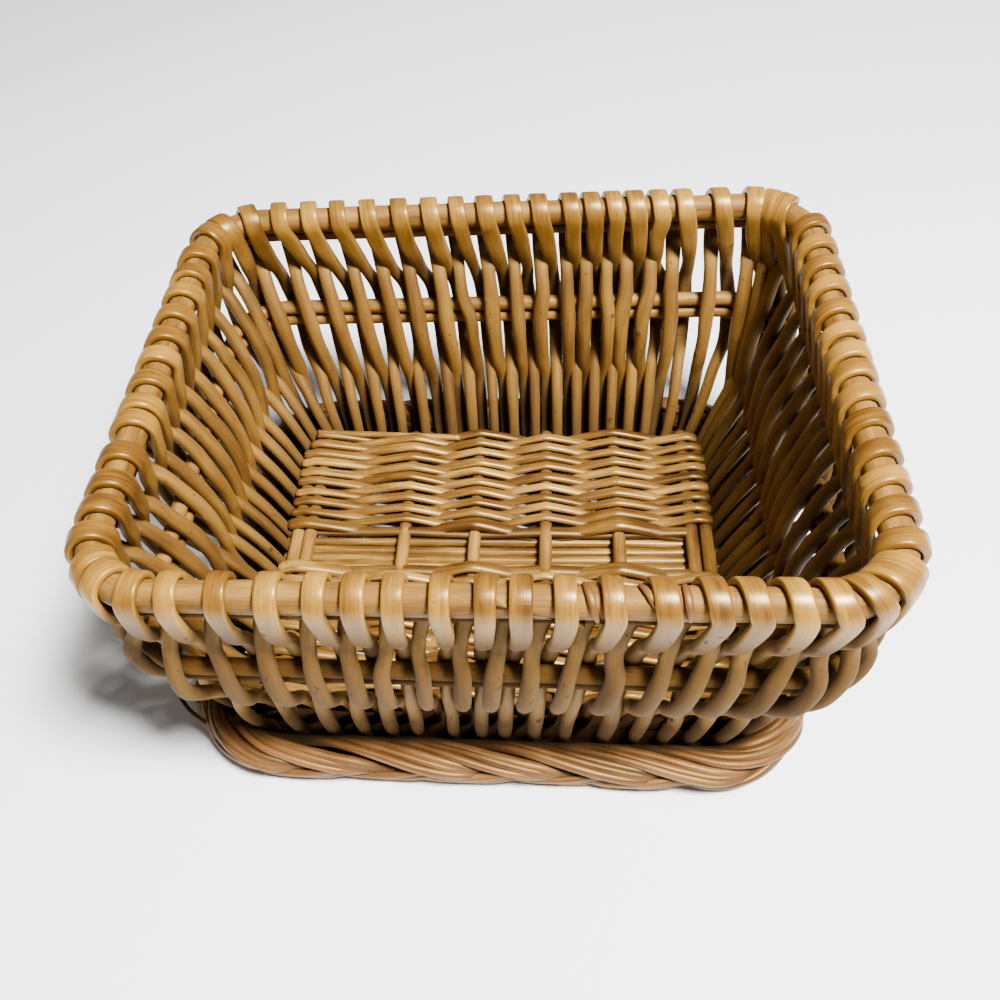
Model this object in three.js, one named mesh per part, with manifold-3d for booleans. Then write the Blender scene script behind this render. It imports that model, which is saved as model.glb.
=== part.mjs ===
// A storage basket of golden willow, in millimetres, +Z up.
// The origin is on the ground, at the centre of the foot, and +X runs along the longer side.
//
// Each stake is one long rod, looped over the rim. From the foot its first leg climbs outside the wall,
// passes inside the two middle hoops and comes out again below the rim. Its second leg does the opposite,
// half a pitch further on, so neighbouring legs cross twice and lock the hoops between them.

import * as THREE from "three";
import { mergeVertices } from "three/addons/utils/BufferGeometryUtils.js";
import Module from "manifold-3d";

const wasm = await Module();
wasm.setup();

// Driving dimensions of the wall's middle surface, from the stakes' feet to the rim.
const rimHalfLength = 165;
const rimHalfWidth = 137;
const rimCornerRadius = 32;
const rimHeight = 153.4;
const wallFootHalfLength = 124.2;
const wallFootHalfWidth = 105.2;
const wallFootCornerRadius = 24;
const wallFootHeight = 10;
const wallBowPower = 2;

// Hoops that the stakes are looped over and woven round. Where each one's ends meet is given in sides
// of the wall gone round from the front left corner.
const rimRodDiameter = 14;
const underRimRodDiameter = 5.4;
const upperMidRodDiameter = 7.4;
const lowerMidRodDiameter = 6.4;
const upperMidRodHeight = 96.8;
const lowerMidRodHeight = 88;
const hoopSides = 5;
const rimRodSides = 8;
const hoopCornerSteps = 6;
const scarfLength = 34;
const rimJointShare = 0.56;
const underRimJointShare = 2.3;
const upperMidJointShare = 1.4;
const lowerMidJointShare = 3.6;

// Looped stakes. The rods are flattened over the rim and thin towards their feet. Along each side they
// stand closer together in one half than in the other.
const frontStakes = 18;
const backStakes = 20;
const sideStakes = 15;
const sideCrowdShares = [-0.13, 0.08, 0.15, -0.12];
const stakeTopWidth = 10.2;
const stakeTopThickness = 5.8;
const stakeShoulderWidth = 9.2;
const stakeShoulderThickness = 6.6;
const stakeMidDiameter = 7.6;
const stakeWaistWidth = 6.3;
const stakeLowDiameter = 6.1;
const stakeTipDiameter = 5.7;
const shoulderDrop = 12.4;
const midRunAbove = 2.4;
const midRunBelow = 4.5;
const outerBendHeight = 24;
const outerBendSpread = 5.2;
const outerFootHeight = 1.5;
const outerFootLengthSpread = 4.8;
const outerFootWidthSpread = 3.3;
const innerBendHeight = 32;
const innerBendOffset = 4.6;
const innerFootHeight = 13;
const innerFootLengthSpread = 4.6;
const innerFootWidthInset = 3.7;
const innerFootCornerTightening = 9;
const stakeSides = 5;
const loopSteps = 4;
const loopSlantShare = 0.8;
const shoulderSlantShare = 0.9;
const pressDepth = 0.7;

// Border that the basket stands on: strands of willow laid up as a rope.
const borderRadius = 10.6;
const borderStrands = 4;
const borderTurns = 4;
const borderStepLength = 40;
const borderCornerSteps = 4;
const borderFlatDepth = 0.6;
const borderCoreShare = 0.2;
const borderRiseShares = [0, 0.2, 0.4, 0.6, 0.8];
const borderShoulderShare = 0.9;
const strandRods = 3;

// Base: front-to-back sticks, a band of rods under their middle and weavers before and behind it.
const baseStickDiameter = 7.4;
const baseStickHeight = 19;
const baseStickSpacing = 41;
const singleSticks = 4;
const bandRods = 5;
const bandRodDiameter = 5.7;
const bandOffset = 2;
const baseRodSides = 7;
const backWeaverRows = 19;
const frontWeaverRows = 21;
const weaverThickness = 3.2;
const weaverTurnSteps = 3;
const weaverSides = 3;

// Gap left between touching rods, and how near two corners of a surface are when they are one.
const rodGap = 0.4;
const weldDistance = 1e-4;

const golden = new THREE.MeshStandardMaterial({ color: 0xb98b47, roughness: 0.42, metalness: 0 });
const honey = new THREE.MeshStandardMaterial({ color: 0xa87a3c, roughness: 0.46, metalness: 0 });
const russet = new THREE.MeshStandardMaterial({ color: 0x8f5a33, roughness: 0.5, metalness: 0 });
const straw = new THREE.MeshStandardMaterial({ color: 0xcaa468, roughness: 0.48, metalness: 0 });

const basket = new THREE.Group();

function addPiece(name, geometry, material) {
  const mesh = new THREE.Mesh(geometry, material);
  mesh.name = name;
  basket.add(mesh);
  return mesh;
}

const mix = THREE.MathUtils.lerp;

// Outline of the wall's middle surface at a height: a rounded rectangle that widens fast near the base
// and hardly at all near the rim.
function wallAt(height) {
  const rise = THREE.MathUtils.clamp((height - wallFootHeight) / (rimHeight - wallFootHeight), 0, 1);
  const share = 1 - Math.pow(1 - rise, wallBowPower);
  return {
    halfLength: mix(wallFootHalfLength, rimHalfLength, share),
    halfWidth: mix(wallFootHalfWidth, rimHalfWidth, share),
    radius: mix(wallFootCornerRadius, rimCornerRadius, share),
  };
}

// The side that a turn lies on. Turns count sides counter-clockwise from the middle of the front left
// corner, and a turn below 0 lies on the last side.
function sideOf(turn) {
  return Math.floor(turn + 4) % 4;
}

// Length of one side of an outline, from the middle of one corner to the middle of the next.
function sideLength(outline, side) {
  const half = side % 2 === 0 ? outline.halfLength : outline.halfWidth;
  return 2 * (half - outline.radius) + (outline.radius * Math.PI) / 2;
}

// An outline moved outwards all round, so that what is spread along it spreads too.
function spreadBy(outline, distance) {
  return {
    halfLength: outline.halfLength + distance,
    halfWidth: outline.halfWidth + distance,
    radius: outline.radius + distance,
  };
}

// A place on an outline. offset moves it outwards, and widthOffset does so along the basket's width
// where that differs. It gives the point and the directions along and out of the wall.
function placeOn(outline, turn, height, offset = 0, widthOffset = offset) {
  const side = sideOf(turn);
  const even = side % 2 === 0;
  const distance = even ? outline.halfWidth : outline.halfLength;
  const straight = (even ? outline.halfLength : outline.halfWidth) - outline.radius;
  const along = (turn - Math.floor(turn) - 1 / 2) * sideLength(outline, side);
  const past = Math.max(0, Math.abs(along) - straight);
  const bend = (Math.sign(along) * past) / outline.radius;
  const reachAcross = outline.radius + (even ? offset : widthOffset);
  const reachOut = outline.radius + (even ? widthOffset : offset);
  const across = THREE.MathUtils.clamp(along, -straight, straight) + reachAcross * Math.sin(bend);
  const out = distance - outline.radius + reachOut * Math.cos(bend);
  const heading = (side * Math.PI) / 2;
  const ahead = new THREE.Vector3(Math.cos(heading + bend), Math.sin(heading + bend), 0);
  const outward = new THREE.Vector3(ahead.y, -ahead.x, 0);
  const point = new THREE.Vector3(
    across * Math.cos(heading) + out * Math.sin(heading),
    across * Math.sin(heading) - out * Math.cos(heading),
    height,
  );
  return { point, ahead, outward };
}

// Corners of a regular section as unit pairs. The last side faces the second direction squarely.
function regularSection(sides) {
  return Array.from({ length: sides }, (_, i) => {
    const angle = ((2 * i) / sides - 1 / 2) * Math.PI;
    return [Math.cos(angle), Math.sin(angle)];
  });
}

// One ring of a swept rod: a unit section stretched along two directions round a centre.
function ringOf(section, centre, first, second, firstSize, secondSize) {
  return section.map(([a, b]) =>
    centre
      .clone()
      .addScaledVector(first, (a * firstSize) / 2)
      .addScaledVector(second, (b * secondSize) / 2),
  );
}

// A closed surface through rings of equally many points, capped at both ends unless it closes on itself.
// From point flipFrom on, each quad is split along its other diagonal.
function sweep(rings, closed, flipFrom = Infinity) {
  const count = rings[0].length;
  const corners = [];
  const spans = closed ? rings.length : rings.length - 1;
  for (let r = 0; r < spans; r++) {
    const here = rings[r];
    const next = rings[(r + 1) % rings.length];
    for (let i = 0; i < count; i++) {
      const j = (i + 1) % count;
      if (i < flipFrom) {
        corners.push(here[i], here[j], next[j], here[i], next[j], next[i]);
      } else {
        corners.push(here[i], here[j], next[i], here[j], next[j], next[i]);
      }
    }
  }
  if (!closed) {
    const last = rings[rings.length - 1];
    for (let i = 1; i < count - 1; i++) {
      corners.push(rings[0][0], rings[0][i + 1], rings[0][i]);
      corners.push(last[0], last[i], last[i + 1]);
    }
  }
  return new THREE.BufferGeometry().setFromPoints(corners);
}

// A closed geometry as a solid that can be joined and cut, and back.
function toSolid(geometry) {
  const bare = new THREE.BufferGeometry().setAttribute("position", geometry.getAttribute("position"));
  if (geometry.index) bare.setIndex(geometry.index);
  const merged = mergeVertices(bare, weldDistance);
  return new wasm.Manifold(
    new wasm.Mesh({
      numProp: 3,
      vertProperties: new Float32Array(merged.attributes.position.array),
      triVerts: new Uint32Array(merged.index.array),
    }),
  );
}

function toGeometry(solid) {
  const mesh = solid.getMesh();
  return new THREE.BufferGeometry()
    .setAttribute("position", new THREE.BufferAttribute(new Float32Array(mesh.vertProperties), 3))
    .setIndex(new THREE.BufferAttribute(new Uint32Array(mesh.triVerts), 1));
}

// Turns at which a hoop bends: steps round each corner and, where stepLength is given, along the sides.
function hoopTurns(outline, cornerSteps, stepLength = Infinity) {
  const turns = [];
  for (let side = 0; side < 4; side++) {
    const length = sideLength(outline, side);
    const arc = (outline.radius * Math.PI) / 4 / length;
    const halfSteps = cornerSteps / 2;
    const straightSteps = Math.max(1, Math.round(((1 - 2 * arc) * length) / stepLength));
    for (let i = 0; i < halfSteps; i++) turns.push(side + (arc * i) / halfSteps);
    for (let i = 0; i < straightSteps; i++) turns.push(side + mix(arc, 1 - arc, i / straightSteps));
    for (let i = 0; i < halfSteps; i++) turns.push(side + 1 - arc + (arc * i) / halfSteps);
  }
  return turns;
}

// A round rod bent into a hoop that follows the wall. Its ends meet in a long slanted scarf joint.
function hoopRod(height, diameter, sides, scarfTurn) {
  const outline = wallAt(height);
  const section = regularSection(sides);
  const up = new THREE.Vector3(0, 0, 1);
  const rings = hoopTurns(outline, hoopCornerSteps).map((turn) => {
    const place = placeOn(outline, turn, height);
    return ringOf(section, place.point, up, place.outward, diameter, diameter);
  });
  const joint = placeOn(outline, scarfTurn, height);
  const slit = new THREE.BoxGeometry(scarfLength + diameter, 2 * diameter, rodGap);
  slit.rotateY(Math.atan2(diameter, scarfLength));
  slit.rotateZ(Math.atan2(joint.ahead.y, joint.ahead.x));
  slit.translate(joint.point.x, joint.point.y, joint.point.z);
  return toGeometry(toSolid(sweep(rings, true)).subtract(toSolid(slit)));
}

const underRimRodHeight = rimHeight - (rimRodDiameter + underRimRodDiameter) / 2 - rodGap;
addPiece("rim_rod", hoopRod(rimHeight, rimRodDiameter, rimRodSides, rimJointShare), honey);
addPiece("under_rim_rod", hoopRod(underRimRodHeight, underRimRodDiameter, hoopSides, underRimJointShare), honey);
addPiece("mid_rod_upper", hoopRod(upperMidRodHeight, upperMidRodDiameter, hoopSides, upperMidJointShare), honey);
addPiece("mid_rod_lower", hoopRod(lowerMidRodHeight, lowerMidRodDiameter, hoopSides, lowerMidJointShare), honey);

// Where the stakes stand: a corner stake in each corner, and the rest along each side.
const stakesOnSide = [frontStakes, sideStakes, backStakes, sideStakes];
const sideNames = ["front", "right", "back", "left"];
const stakes = stakesOnSide.flatMap((count, side) =>
  Array.from({ length: count + 1 }, (_, number) => ({ side, number })),
);

// A leg's place by its side and its number along it, half numbers too. turn is where it stands, and
// pitch is how far apart two stakes stand there, in turns.
function legPlace(side, number) {
  if (number < 0) return legPlace((side + 3) % 4, number + stakesOnSide[(side + 3) % 4] + 1);
  const crowd = sideCrowdShares[side];
  const share = number / (stakesOnSide[side] + 1);
  return {
    side,
    turn: side + share - (crowd * Math.sin(Math.PI * share) ** 2) / Math.PI,
    pitch: (1 - crowd * Math.sin(2 * Math.PI * share)) / (stakesOnSide[side] + 1),
  };
}

// Half the pitch of the stakes at a place and height: the room that one leg has where two cross.
function legRoom(place, height) {
  return (sideLength(wallAt(height), place.side) * place.pitch) / 2;
}

// A regular section reaches these shares of its half size, towards a hoop and along it.
const flatShare = Math.cos(Math.PI / stakeSides);
const sideShare = Math.cos(Math.PI / stakeSides / 2);
const loopOffset = rimRodDiameter / 2 + 2 * rodGap + (flatShare * stakeTopThickness) / 2;
const midOffset = upperMidRodDiameter / 2 + rodGap + stakeMidDiameter / 2;

// From the middle hoops towards the rim, two neighbouring legs cross at this share of the way. There
// the slant of the loops holds them a little more than half a pitch apart.
const shoulderHeight = rimHeight - shoulderDrop;
const upperRunHeight = upperMidRodHeight + midRunAbove;
const lowerRunHeight = lowerMidRodHeight - midRunBelow;
const crossingShare = midOffset / (midOffset + loopOffset);
const crossingHeight = mix(upperRunHeight, shoulderHeight, crossingShare);
const crossingSpreadShare = 1 + (1 - shoulderSlantShare) * crossingShare;

// Widths of a leg at the top and bottom of its run past the middle hoops, and under the rim: as wide as
// the rod, or as its room allows.
function midWidth(place) {
  return Math.min(stakeMidDiameter, legRoom(place, upperRunHeight));
}

function waistWidth(place) {
  return Math.min(stakeWaistWidth, legRoom(place, lowerRunHeight));
}

function shoulderWidth(place) {
  const room = (legRoom(place, crossingHeight) - rodGap) / sideShare;
  return Math.min(stakeShoulderWidth, (room - (1 - crossingShare) * midWidth(place)) / crossingShare);
}

// How far, in turns, a leg is pushed at the middle hoops so that it presses into its neighbour
// where they cross.
function pushOf(place) {
  const width = sideShare * mix(midWidth(place), shoulderWidth(place), crossingShare);
  const space = crossingSpreadShare * legRoom(place, crossingHeight) - width + pressDepth;
  return space / 2 / (1 - crossingShare) / sideLength(wallAt(crossingHeight), place.side);
}

// Outline that the middle lines of straight leaning legs pass through at a height between their feet
// and their lower bends.
function legsAt(height, foot, footHeight, bend, bendHeight) {
  const share = (height - footHeight) / (bendHeight - footHeight);
  const between = (size) => mix(foot[size], bend[size], share);
  return { halfLength: between("halfLength"), halfWidth: between("halfWidth"), radius: between("radius") };
}

// Outlines that the legs' feet stand on, and those of their lower bends. Between an inner leg's foot and
// its lower bend it stands between two outer ones, so it is spread as they are at that height.
const outerFoot = {
  halfLength: wallFootHalfLength + outerFootLengthSpread,
  halfWidth: wallFootHalfWidth + outerFootWidthSpread,
  radius: wallFootCornerRadius,
};
const innerFoot = {
  halfLength: wallFootHalfLength + innerFootLengthSpread,
  halfWidth: wallFootHalfWidth - innerFootWidthInset,
  radius: wallFootCornerRadius - innerFootCornerTightening,
};
const outerBend = spreadBy(wallAt(outerBendHeight), outerBendSpread);
const innerBend = spreadBy(wallAt(innerBendHeight), -innerBendOffset);
const outerLegsAt = (height) => legsAt(height, outerFoot, outerFootHeight, outerBend, outerBendHeight);
const innerLegsAt = (height) => legsAt(height, innerFoot, innerFootHeight, innerBend, innerBendHeight);
const besideShare = (lowerRunHeight - innerBendHeight) / (lowerRunHeight - outerBendHeight);
const besideSpread = outerBendSpread * besideShare;
const innerBendBeside = spreadBy(wallAt(innerBendHeight), besideSpread);
const innerFootBeside = outerLegsAt(innerFootHeight);

// The whole path of a stake: up its outer leg, over the rim rod and down its inner leg, which stands
// half a pitch before the outer one.
function stakePath({ side, number }, pressesAhead) {
  const outer = legPlace(side, number);
  const inner = legPlace(side, number - 1 / 2);
  const innerTurn = inner.turn > outer.turn ? inner.turn - 4 : inner.turn;
  const pushedOuter = outer.turn + (pressesAhead ? pushOf(outer) : 0);
  const pushedInner = innerTurn - (pressesAhead ? 0 : pushOf(inner));
  const low = { width: Math.min(stakeLowDiameter, legRoom(outer, innerBendHeight)), thickness: stakeLowDiameter };
  const tip = { width: stakeTipDiameter, thickness: stakeTipDiameter };
  const loop = Array.from({ length: loopSteps + 1 }, (_, i) => {
    const angle = (Math.PI * i) / loopSteps;
    return {
      turn: mix(outer.turn, innerTurn, (loopSlantShare * i) / loopSteps),
      height: rimHeight + loopOffset * Math.sin(angle),
      offset: loopOffset * Math.cos(angle),
      width: mix(shoulderWidth(outer), stakeTopWidth, Math.sqrt(Math.sin(angle))),
      thickness: stakeTopThickness,
    };
  });
  const midThickness = { thickness: stakeMidDiameter };
  const shoulderThickness = { thickness: stakeShoulderThickness };
  return [
    { turn: outer.turn, height: outerFootHeight, outline: outerFoot, offset: 0, ...tip },
    { turn: outer.turn, height: outerBendHeight, outline: outerBend, offset: 0, ...low },
    { turn: outer.turn, height: lowerRunHeight, offset: -midOffset, width: waistWidth(outer), ...midThickness },
    { turn: pushedOuter, height: upperRunHeight, offset: -midOffset, width: midWidth(outer), ...midThickness },
    { turn: outer.turn, height: shoulderHeight, offset: loopOffset, width: shoulderWidth(outer), ...shoulderThickness },
    ...loop,
    {
      turn: mix(outer.turn, innerTurn, shoulderSlantShare),
      height: shoulderHeight,
      offset: -loopOffset,
      width: shoulderWidth(inner),
      ...shoulderThickness,
    },
    { turn: pushedInner, height: upperRunHeight, offset: midOffset, width: midWidth(inner), ...midThickness },
    { turn: innerTurn, height: lowerRunHeight, offset: midOffset, width: waistWidth(inner), ...midThickness },
    {
      turn: innerTurn,
      height: innerBendHeight,
      outline: innerBendBeside,
      offset: -besideSpread - innerBendOffset,
      ...low,
    },
    {
      turn: innerTurn,
      height: innerFootHeight,
      outline: innerFootBeside,
      offset: innerFoot.halfLength - innerFootBeside.halfLength,
      widthOffset: innerFoot.halfWidth - innerFootBeside.halfWidth,
      ...tip,
    },
  ];
}

// A stake as a solid. Its section keeps one direction along the wall, so the rod doesn't twist.
function stakeSolid(stake, pressesAhead) {
  const section = regularSection(stakeSides);
  const path = stakePath(stake, pressesAhead);
  const places = path.map((p) => placeOn(p.outline ?? wallAt(p.height), p.turn, p.height, p.offset, p.widthOffset));
  const rings = path.map((p, i) => {
    const from = places[Math.max(0, i - 1)].point;
    const to = places[Math.min(places.length - 1, i + 1)].point;
    const tangent = to.clone().sub(from).normalize();
    const first = places[i].ahead.clone().addScaledVector(tangent, -places[i].ahead.dot(tangent)).normalize();
    const second = tangent.clone().cross(first);
    return ringOf(section, places[i].point, first, second, p.width, p.thickness);
  });
  return toSolid(sweep(rings, false));
}

// Stakes in pairs: the outer leg of one presses against the inner leg of the next where they cross
// below the rim, and there the two rods are one solid.
const pairsOnSide = [0, 0, 0, 0];
for (let index = 0; index + 1 < stakes.length; index += 2) {
  const side = stakes[index].side;
  pairsOnSide[side] += 1;
  const pair = stakeSolid(stakes[index], true).add(stakeSolid(stakes[index + 1], false));
  const number = String(pairsOnSide[side]).padStart(2, "0");
  addPiece(`stake_pair_${sideNames[side]}_${number}`, toGeometry(pair), golden);
}

// Half the level thickness of a leg that leans out by so much over a rise.
function levelReach(thickness, lean, rise) {
  return ((thickness / 2) * Math.hypot(lean, rise)) / rise;
}

// How far an outline reaches where it reaches out fastest: along its length, or into its corners.
function leanFrom(outline, foot) {
  const corner = ({ halfLength, halfWidth, radius }) =>
    radius + Math.SQRT1_2 * (halfLength - radius + halfWidth - radius);
  return Math.max(outline.halfLength - foot.halfLength, corner(outline) - corner(foot));
}

// The border lies against the feet of the outer legs: its middle line is far enough out at every
// height that it spans.
const borderHeight = borderRadius - borderFlatDepth;
const outerLean = leanFrom(outerLegsAt(outerBendHeight), outerLegsAt(outerFootHeight));
const outerReach = levelReach(stakeLowDiameter, outerLean, outerBendHeight - outerFootHeight);
const borderOffset = Math.max(
  ...borderRiseShares.map((share) => {
    const lean = leanFrom(outerLegsAt(borderHeight + borderRadius * share), outerFoot);
    return lean + outerReach + rodGap + borderRadius * Math.sqrt(1 - share * share);
  }),
);
const borderOutline = spreadBy(outerFoot, borderOffset);

// Section of one strand in unit lengths: a slice of the rope with a bump for each of its rods.
function strandSection() {
  const halfSlice = Math.PI / borderStrands;
  const inset = rodGap / borderRadius;
  const edge = halfSlice - inset;
  const points = [[borderCoreShare, 0]];
  points.push([borderShoulderShare, -edge]);
  for (let i = 0; i < strandRods; i++) points.push([1, edge * ((2 * i + 1) / strandRods - 1)]);
  points.push([borderShoulderShare, edge]);
  return points.map(([radius, angle]) => ({ radius: radius * borderRadius, angle }));
}

// One strand of the border, twisting steadily round the border's middle line, cut flat on the ground.
function borderStrand(number) {
  const up = new THREE.Vector3(0, 0, 1);
  const section = strandSection();
  const lengths = [0, 1, 2, 3].map((side) => sideLength(borderOutline, side));
  const perimeter = lengths.reduce((sum, length) => sum + length, 0);
  const rings = hoopTurns(borderOutline, borderCornerSteps, borderStepLength).map((turn) => {
    const side = Math.floor(turn);
    const gone = lengths.slice(0, side).reduce((sum, length) => sum + length, 0);
    const travelled = (gone + (turn - side) * lengths[side]) / perimeter;
    const twist = 2 * Math.PI * (borderTurns * travelled + number / borderStrands);
    const place = placeOn(borderOutline, turn, borderHeight);
    return section.map(({ radius, angle }) =>
      place.point
        .clone()
        .addScaledVector(up, radius * Math.cos(angle + twist))
        .addScaledVector(place.outward, radius * Math.sin(angle + twist)),
    );
  });
  const solid = toSolid(sweep(rings, true, section.length / 2));
  return toGeometry(solid.trimByPlane([0, 0, 1], 0));
}

for (let number = 1; number <= borderStrands; number++) {
  addPiece(`foot_border_strand_${number}`, borderStrand(number), russet);
}

// The room between the feet of the inner legs at a height: how far a level rod at a place x can reach
// towards the back, and how far one can reach towards the right.
const innerLean = leanFrom(innerLegsAt(innerBendHeight), innerLegsAt(innerFootHeight));
const innerReach = levelReach(stakeLowDiameter, innerLean, innerBendHeight - innerFootHeight) + rodGap;

function roomBehind(x, height) {
  const legs = innerLegsAt(height);
  const radius = legs.radius - innerReach;
  const past = Math.max(0, Math.abs(x) - (legs.halfLength - legs.radius));
  return legs.halfWidth - legs.radius + Math.sqrt(Math.max(0, radius * radius - past * past));
}

function roomBeside(height) {
  return innerLegsAt(height).halfLength - innerReach;
}

// Base sticks: a pair at each end and single ones between, counted from the right.
const stickRadius = baseStickDiameter / 2;
const stickBottom = baseStickHeight - stickRadius;
const weaverTurnRadius = (stickRadius + rodGap + weaverThickness / 2) / Math.cos(Math.PI / weaverTurnSteps / 2);
const weaverTurnReach = stickRadius + rodGap + weaverThickness;
const weaverTurnSide = weaverTurnRadius * Math.sin(Math.PI / weaverTurnSteps / 2);
const weaverTurnBottom = baseStickHeight - weaverTurnSide - weaverThickness / 2;
const outerStick = roomBeside(weaverTurnBottom) - weaverTurnReach;
const innerStick = outerStick - baseStickDiameter - 2 * rodGap;
const stickPlaces = [-outerStick, -innerStick];
for (let i = singleSticks; i > 0; i--) stickPlaces.push(innerStick - i * baseStickSpacing);
stickPlaces.push(innerStick, outerStick);

// Rows of weaving, from the band to the edge of the base. facing is 1 behind the band and -1 before it.
const weaverLevel = stickRadius + weaverThickness / 2 + 2 * rodGap;
const bandPitch = bandRodDiameter + rodGap;
const weaverEdge = roomBehind(innerStick + weaverTurnReach, weaverTurnBottom);

function rowsOf(facing) {
  return facing > 0 ? backWeaverRows : frontWeaverRows;
}

function rowPitch(facing) {
  const bandEdge = facing * bandOffset + (bandRods / 2) * bandPitch;
  return (weaverEdge - bandEdge) / rowsOf(facing);
}

function weaverRow(facing, row) {
  return weaverEdge - (rowsOf(facing) - row - 1 / 2) * rowPitch(facing);
}

// Whether the weaver has room to turn round the outer stick between a row and the next. Near the
// rounded corners it turns round the inner stick of the pair.
function turnsOutside(facing, row) {
  const edge = weaverRow(facing, row + 1) + rowPitch(facing) / 2;
  return edge < roomBehind(outerStick + weaverTurnReach, weaverTurnBottom);
}

// The sticks that a row of weaving passes, in the order in which it passes them. The two sticks of a
// pair are passed together, so they share a group.
function sticksOfRow(facing, row) {
  const passed = stickPlaces.map((x, i) => ({ x, group: THREE.MathUtils.clamp(i, 1, singleSticks + 2) }));
  if (row % 2 === 1) passed.reverse();
  const first = row === 0 || turnsOutside(facing, row - 1) ? 0 : 1;
  const last = turnsOutside(facing, row) ? passed.length : passed.length - 1;
  return passed.slice(first, last);
}

// Where a stick ends: at the wall, or for an outer stick past the last row of weaving that holds it.
function stickEnd(place, facing) {
  if (Math.abs(place) < outerStick) return roomBehind(Math.abs(place) + stickRadius, stickBottom);
  const rows = Array.from({ length: rowsOf(facing) }, (_, row) => row);
  const held = rows.filter((row) => sticksOfRow(facing, row).some(({ x }) => x === place));
  return weaverRow(facing, Math.max(...held)) + rowPitch(facing) / 2 - rodGap;
}

stickPlaces.forEach((x, i) => {
  const front = stickEnd(x, -1);
  const back = stickEnd(x, 1);
  const stick = new THREE.CylinderGeometry(stickRadius, stickRadius, front + back, baseRodSides);
  const mesh = addPiece(`base_stick_${i + 1}`, stick, honey);
  mesh.position.set(x, (back - front) / 2, baseStickHeight);
});

// Band rods: side by side across the middle of the base, right under the sticks.
const bandHeight = stickBottom - bandRodDiameter / 2 - rodGap;
const bandHalfLength = roomBeside(bandHeight - bandRodDiameter / 2);
for (let i = 0; i < bandRods; i++) {
  const rod = new THREE.CylinderGeometry(bandRodDiameter / 2, bandRodDiameter / 2, 2 * bandHalfLength, baseRodSides);
  rod.rotateZ(Math.PI / 2);
  const mesh = addPiece(`base_band_rod_${i + 1}`, rod, straw);
  mesh.position.set(0, bandOffset + (i - (bandRods - 1) / 2) * bandPitch, bandHeight);
}

// A base weaver: one thin rod that goes over and under the sticks, turns round the last of them and
// comes back in the next row.
function baseWeaver(facing) {
  const path = [];
  for (let row = 0; row < rowsOf(facing); row++) {
    const y = weaverRow(facing, row);
    for (const { x, group } of sticksOfRow(facing, row)) {
      path.push(new THREE.Vector3(x, y, (group + row) % 2 === 0 ? weaverLevel : -weaverLevel));
    }
    if (row === rowsOf(facing) - 1) continue;
    const last = path[path.length - 1];
    for (let i = 1; i < weaverTurnSteps; i++) {
      const angle = (Math.PI * i) / weaverTurnSteps;
      const x = last.x + Math.sign(last.x) * weaverTurnRadius * Math.sin(angle);
      const z = Math.sign(last.z) * weaverTurnRadius * Math.cos(angle);
      path.push(new THREE.Vector3(x, mix(y, weaverRow(facing, row + 1), i / weaverTurnSteps), z));
    }
  }
  const points = path.map(({ x, y, z }) => new THREE.Vector3(x, facing * y, baseStickHeight + z));
  const section = regularSection(weaverSides);
  const weaverWidth = (rowPitch(facing) - rodGap) / Math.cos(Math.PI / weaverSides / 2);
  const width = new THREE.Vector3(0, 1, 0);
  const rings = points.map((point, i) => {
    const tangent = points[Math.min(points.length - 1, i + 1)].clone().sub(points[Math.max(0, i - 1)]).normalize();
    const first = width.clone().addScaledVector(tangent, -width.dot(tangent)).normalize();
    return ringOf(section, point, first, tangent.clone().cross(first), weaverWidth, weaverThickness);
  });
  return sweep(rings, false);
}

addPiece("base_weaver_back", baseWeaver(1), straw);
addPiece("base_weaver_front", baseWeaver(-1), straw);

export default basket;
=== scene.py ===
import bpy
import numpy as np
from mathutils import Matrix, Vector


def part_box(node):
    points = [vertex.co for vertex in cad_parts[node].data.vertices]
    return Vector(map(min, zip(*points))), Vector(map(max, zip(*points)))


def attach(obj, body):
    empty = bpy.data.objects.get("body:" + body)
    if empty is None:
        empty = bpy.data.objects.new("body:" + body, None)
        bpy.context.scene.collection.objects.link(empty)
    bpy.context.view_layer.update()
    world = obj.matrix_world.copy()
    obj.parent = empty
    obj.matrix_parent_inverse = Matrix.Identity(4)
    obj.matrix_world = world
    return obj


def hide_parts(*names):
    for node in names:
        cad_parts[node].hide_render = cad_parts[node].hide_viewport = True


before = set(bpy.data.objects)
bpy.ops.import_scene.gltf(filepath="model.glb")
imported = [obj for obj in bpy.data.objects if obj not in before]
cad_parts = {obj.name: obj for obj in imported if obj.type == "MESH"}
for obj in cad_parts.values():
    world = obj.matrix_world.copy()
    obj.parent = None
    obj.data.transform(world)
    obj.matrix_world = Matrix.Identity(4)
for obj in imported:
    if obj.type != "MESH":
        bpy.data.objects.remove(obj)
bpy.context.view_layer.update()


# The rim rod: one thick willow rod, bent to a rounded rectangle. Its ends are cut to a long slanted
# joint at the front, and the stakes that are looped over it hold it to the wall.
RIM = {
    "half_length": 165.0,
    "half_width": 137.0,
    "radius": 32.0,
    "height": 153.4,
    "diameter": 14.0,
    "around": 1200.0,
}
FOOT = {"half_length": 124.2, "half_width": 105.2, "radius": 24.0, "height": 10.0}
SCARF = {"length": 34.0, "gap": 0.25}
WALLS = 4
THICK_ROD_FACES = 16
MM = 0.001


def wall_at(height):
    """Half length, half width and corner radius of the wall at heights: from foot to rim the wall
    widens by 1 minus the square of what is left of the rise, so it bows outwards."""
    rise = np.clip((np.asarray(height, float) - FOOT["height"]) / (RIM["height"] - FOOT["height"]), 0, 1)
    share = 1 - (1 - rise) ** 2
    return [FOOT[k] + (RIM[k] - FOOT[k]) * share for k in ("half_length", "half_width", "radius")]


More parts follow.
